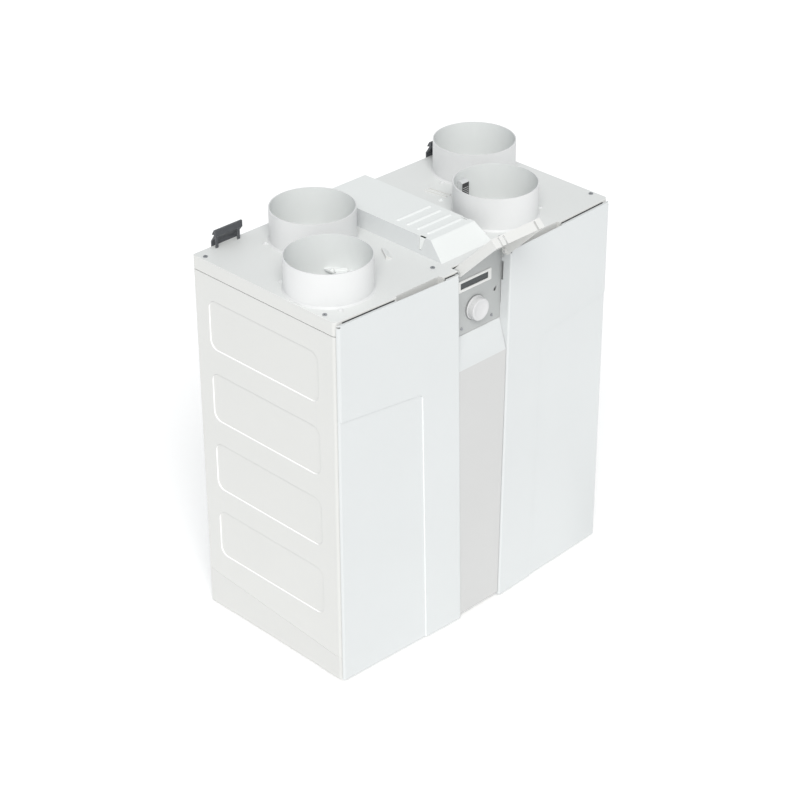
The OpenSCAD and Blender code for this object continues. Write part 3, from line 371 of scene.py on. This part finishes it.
def dress_nodes(materials):
    """Gives each CAD node the material of its slot, and a few faces a second material; most of these are
    painted light or shade.
    """
    slots = {entry["node"]: entry["material_slot"] for entry in frame["record"]["subparts"]}
    for name, obj in NODES.items():
        obj.data.materials.clear()
        obj.data.materials.append(materials[slots[name]])
    NODES["display_bezel"].data.materials[0] = materials["flap_white"]
    paint_faces("centre_cover", materials["door_white"],
                lambda center, normal: center.z > 552.0 and normal.y < -0.1)
    # painted light: the cap's upward faces get the lighter cap_white, its sides keep the enamel
    paint_faces("top_cap", materials["cap_white"], lambda center, normal: normal.z > 0.5)
    # painted shade: the side walls of the electronics cover get the darker door_white, for the shade the
    # spigots cast on them
    paint_faces("electronics_cover", materials["door_white"],
                lambda center, normal: abs(normal.x) > 0.5 and abs(center.x) > 55.0)
    # painted light and shade: the walls around the doors' stepped fields get door_step, lighter where
    # they face up and left, darker on the other side
    for name in ("left_door", "right_door"):
        paint_faces(name, materials["door_step"], on_door_step)
    # painted light: each spigot's inner faces get the lighter cover_white, for the light that falls into
    # them
    for name, (x, y) in DUCTS.items():
        paint_faces(name, materials["cover_white"],
                    lambda center, normal: (center.x - x) * normal.x + (center.y - y) * normal.y < -20.0)
    # painted shade: the duct sensor's front faces are painted dark for the shade in its open mouth
    paint_faces("duct_sensor", materials["magnet_dark"],
                lambda center, normal: normal.y < -0.5 and center.z > 757.0)
    paint_faces("cap_screws", materials["cover_white"],
                lambda center, normal: center.x > 100.0 and abs(center.y - 29.0) < 8.0)


# ---------- small trim ----------

def prism(name, outline, thickness, place, material, edge=0.2):
    """A closed prism on the casing: outline in its own XY plane, thickness along its own Z."""
    count = len(outline)
    points = [(x * MM, y * MM, z * MM) for z in (0.0, thickness) for x, y in outline]
    faces = [tuple(reversed(range(count))), tuple(range(count, 2 * count))]
    for i in range(count):
        j = (i + 1) % count
        faces.append((i, j, j + count, i + count))
    mesh = bpy.data.meshes.new(name)
    mesh.from_pydata(points, [], faces)
    mesh.update()
    work = bmesh.new()
    work.from_mesh(mesh)
    bmesh.ops.recalc_face_normals(work, faces=work.faces)
    work.to_mesh(mesh)
    work.free()
    obj = bpy.data.objects.new(name, mesh)
    bpy.context.scene.collection.objects.link(obj)
    obj.matrix_world = place
    obj.data.materials.append(material)
    bevel = obj.modifiers.new("round", "BEVEL")
    bevel.width = edge * MM
    bevel.segments = 2
    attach(obj, "casing")
    return obj


def at(x, y, z):
    return Matrix.Translation((x * MM, y * MM, z * MM))


def make_gap_shade_strips(gap_shade_rubber):
    """Dark foam strips in the seam under the cap and in the gap between cap and doors: painted shade for
    the dark gaps.
    """
    first = FRONT + 10.0
    last = -FRONT - 5.0
    strip = 1.1
    overlap = 0.05
    # stretches of the door gap on either side of each finger notch
    stretches = ((336.0, 216.0), (96.0, 72.0))
    for side in (-1, 1):
        inner = side * (HALF_W - 3.8)
        outer = side * (HALF_W - 2.3)
        prism(f"seam_shade_strip_{side}", [(inner, first), (outer, first), (outer, last), (inner, last)],
              10.0, at(0, 0, CAP_FOOT - 5), gap_shade_rubber)
        for part, (start, stop) in enumerate(stretches):
            line = [FRONT - (HALF_W - x) * tan(DOOR_SLOPE) for x in (start, stop)]
            prism(f"door_gap_shade_strip_{side}_{part}",
                  [(side * start, line[0] + overlap), (side * stop, line[1] + overlap),
                   (side * stop, line[1] - strip), (side * start, line[0] - strip)],
                  12.5, at(0, 0, CAP_TOP - 16.0), gap_shade_rubber)


def make_catches(white, dark):
    """Release catch in the notch on each side of the electronics cover: tongue, web, and a dark recess
    plate behind them that is painted shade.
    """
    # lean of the cover's side walls, foot of the notch above the cap, and length of the tongue
    lean = radians(15.7)
    low = 8.4
    length = 22.0
    for side in (-1, 1):
        out = Vector((side * cos(lean), 0.0, sin(lean)))
        up = Vector((-side * sin(lean), 0.0, cos(lean)))
        along = up.cross(out)
        foot = Vector((side * (65.0 - 9.0 * low / 32.0), FRONT + 85.0, CAP_TOP + low)) * MM
        turn = Matrix((along, up, out)).transposed().to_4x4()
        for name, outline, depth, thick, material in (
                ("tongue", [(-2.0, 0), (2.4, 0), (6.6, length), (-6.2, length)], -2.3, 2.0, white),
                ("web", [(-1.0, 3), (1.0, 3), (2.5, length - 3), (-2.5, length - 3)], -4.6, 2.6, white),
                # the dark recess plate stands in for the shade in the notch: painted shade
                ("recess", [(-7.5, -3), (7.5, -3), (7.5, length - 4), (-7.5, length - 4)],
                 -5.4, 1.2, dark)):
            place = Matrix.Translation(foot + out * depth * MM) @ turn
            prism(f"catch_{name}_{side}", outline, thick, place, material)


# ---------- rounded edges ----------

# width of the rounding of each node's edges, in millimetres
SOFT_EDGES = {
    "top_cap": 1.2, "electronics_cover": 1.6, "left_door": 0.5, "right_door": 0.5,
    "control_flap": 0.5, "centre_cover": 0.7, "control_fascia": 0.4, "display_bezel": 0.35,
    "left_side_panel": 0.4, "right_side_panel": 0.4, "base_tray": 0.6, "base_feet": 0.5,
    "left_wall_hook": 0.5, "right_wall_hook": 0.5, "control_knob": 0.5, "cable_gland": 0.4,
    "supply_spigot": 0.4, "extract_spigot": 0.4, "outdoor_air_spigot": 0.4, "exhaust_spigot": 0.4,
    "duct_sensor": 0.4, "cap_screws": 0.15, "fascia_screws": 0.12,
    "filter_covers": 0.6, "back_panel": 0.4,
}


def on_panel_step(a, b):
    """Is the edge a-b part of a recess in a side panel, along its lip or along its floor?"""
    inside = all(-150.0 < p.y < 150.0 and 125.0 < p.z < 695.0 for p in (a, b))
    return inside and min(abs(a.x), abs(b.x)) > 350.0 and abs(a.x - b.x) < 0.3


def soften_recesses(obj, material):
    """Rounds the edges of a side panel's recesses more than its other edges, and gives that rounding the
    panel_step material, painted lighter where it faces up and to the front and darker where it faces
    down and back.
    """
    ends = [obj.matrix_world @ vertex.co / MM for vertex in obj.data.vertices]
    weights = obj.data.attributes.new("bevel_weight_edge", "FLOAT", "EDGE")
    for edge in obj.data.edges:
        a, b = edge.vertices
        weights.data[edge.index].value = float(on_panel_step(ends[a], ends[b]))
    obj.data.materials.append(material)
    step = obj.modifiers.new("step", "BEVEL")
    step.width = 0.85 * MM
    step.segments = 4
    step.limit_method = "WEIGHT"
    step.use_clamp_overlap = False
    # the rounding of the recesses gets the panel_step material: painted light and shade
    step.material = len(obj.data.materials) - 1


def soften(name, width, materials):
    """Merges a node's triangles back into faces and rounds its edges, by modifiers only."""
    obj = NODES[name]
    weld = obj.modifiers.new("weld", "WELD")
    weld.merge_threshold = 0.00001
    flat = obj.modifiers.new("faces", "DECIMATE")
    flat.decimate_type = "DISSOLVE"
    flat.angle_limit = radians(0.8)
    if name.endswith("side_panel"):
        soften_recesses(obj, materials["panel_step"])
    bevel = obj.modifiers.new("round", "BEVEL")
    bevel.width = width * MM
    bevel.segments = 3
    bevel.limit_method = "ANGLE"
    bevel.angle_limit = radians(28.0)
    bevel.harden_normals = False
    normals = obj.modifiers.new("normals", "WEIGHTED_NORMAL")
    normals.keep_sharp = True
    for polygon in obj.data.polygons:
        polygon.use_smooth = True


# ---------- stage ----------

def make_stage():
    """Pale floor, white surroundings and soft lights."""
    bpy.ops.mesh.primitive_circle_add(vertices=96, radius=40.0, fill_type="NGON")
    floor = bpy.context.object
    floor.name = "floor"
    mat, tree, shader = new_material("floor_white", (0.95, 0.95, 0.95), 0.9, specular=0.1)
    shader.inputs["Emission Color"].default_value = (1.0, 1.0, 1.0, 1.0)
    shader.inputs["Emission Strength"].default_value = 0.14
    floor.data.materials.append(mat)

    world = bpy.data.worlds.new("studio")
    world.use_nodes = True
    background = world.node_tree.nodes["Background"]
    background.inputs["Color"].default_value = (0.955, 0.98, 1.0, 1.0)
    background.inputs["Strength"].default_value = 0.58
    bpy.context.scene.world = world

    key = bpy.data.lights.new("key", "SUN")
    key.energy = 2.14
    key.angle = radians(32.0)
    key.color = (1.0, 0.99, 0.965)
    obj = bpy.data.objects.new("key", key)
    bpy.context.scene.collection.objects.link(obj)
    obj.rotation_euler = (radians(48.0), 0.0, radians(-42.0))


# place, lens and angles of the picture's camera
CAMERA_PLACE = (-2.6412, -2.6692, 2.5781)
CAMERA_LENS = 101.98
CAMERA_AZIMUTH = -44.53
CAMERA_ELEVATION = 30.28
CAMERA_ROLL = -0.26


def make_camera():
    a = radians(CAMERA_AZIMUTH)
    e = radians(CAMERA_ELEVATION)
    r = radians(CAMERA_ROLL)
    behind = Vector((sin(a) * cos(e), -cos(a) * cos(e), sin(e)))
    level = Vector((cos(a), sin(a), 0.0))
    upright = behind.cross(level)
    right = level * cos(r) + upright * sin(r)
    up = upright * cos(r) - level * sin(r)
    data = bpy.data.cameras.new("camera")
    data.sensor_width = 36.0
    data.lens = CAMERA_LENS
    obj = bpy.data.objects.new("camera", data)
    bpy.context.scene.collection.objects.link(obj)
    turn = Matrix((right, up, behind)).transposed().to_4x4()
    obj.matrix_world = Matrix.Translation(CAMERA_PLACE) @ turn
    bpy.context.scene.camera = obj


make_camera()
make_stage()
materials = make_materials()
dress_nodes(materials)
# dark strips in the seams and door gaps: painted shade
make_gap_shade_strips(materials["seal_rubber"])
make_catches(materials["cover_white"], materials["black_plastic"])
for node_name, edge in SOFT_EDGES.items():
    soften(node_name, edge, materials)
bpy.context.scene.view_settings.view_transform = "Standard"
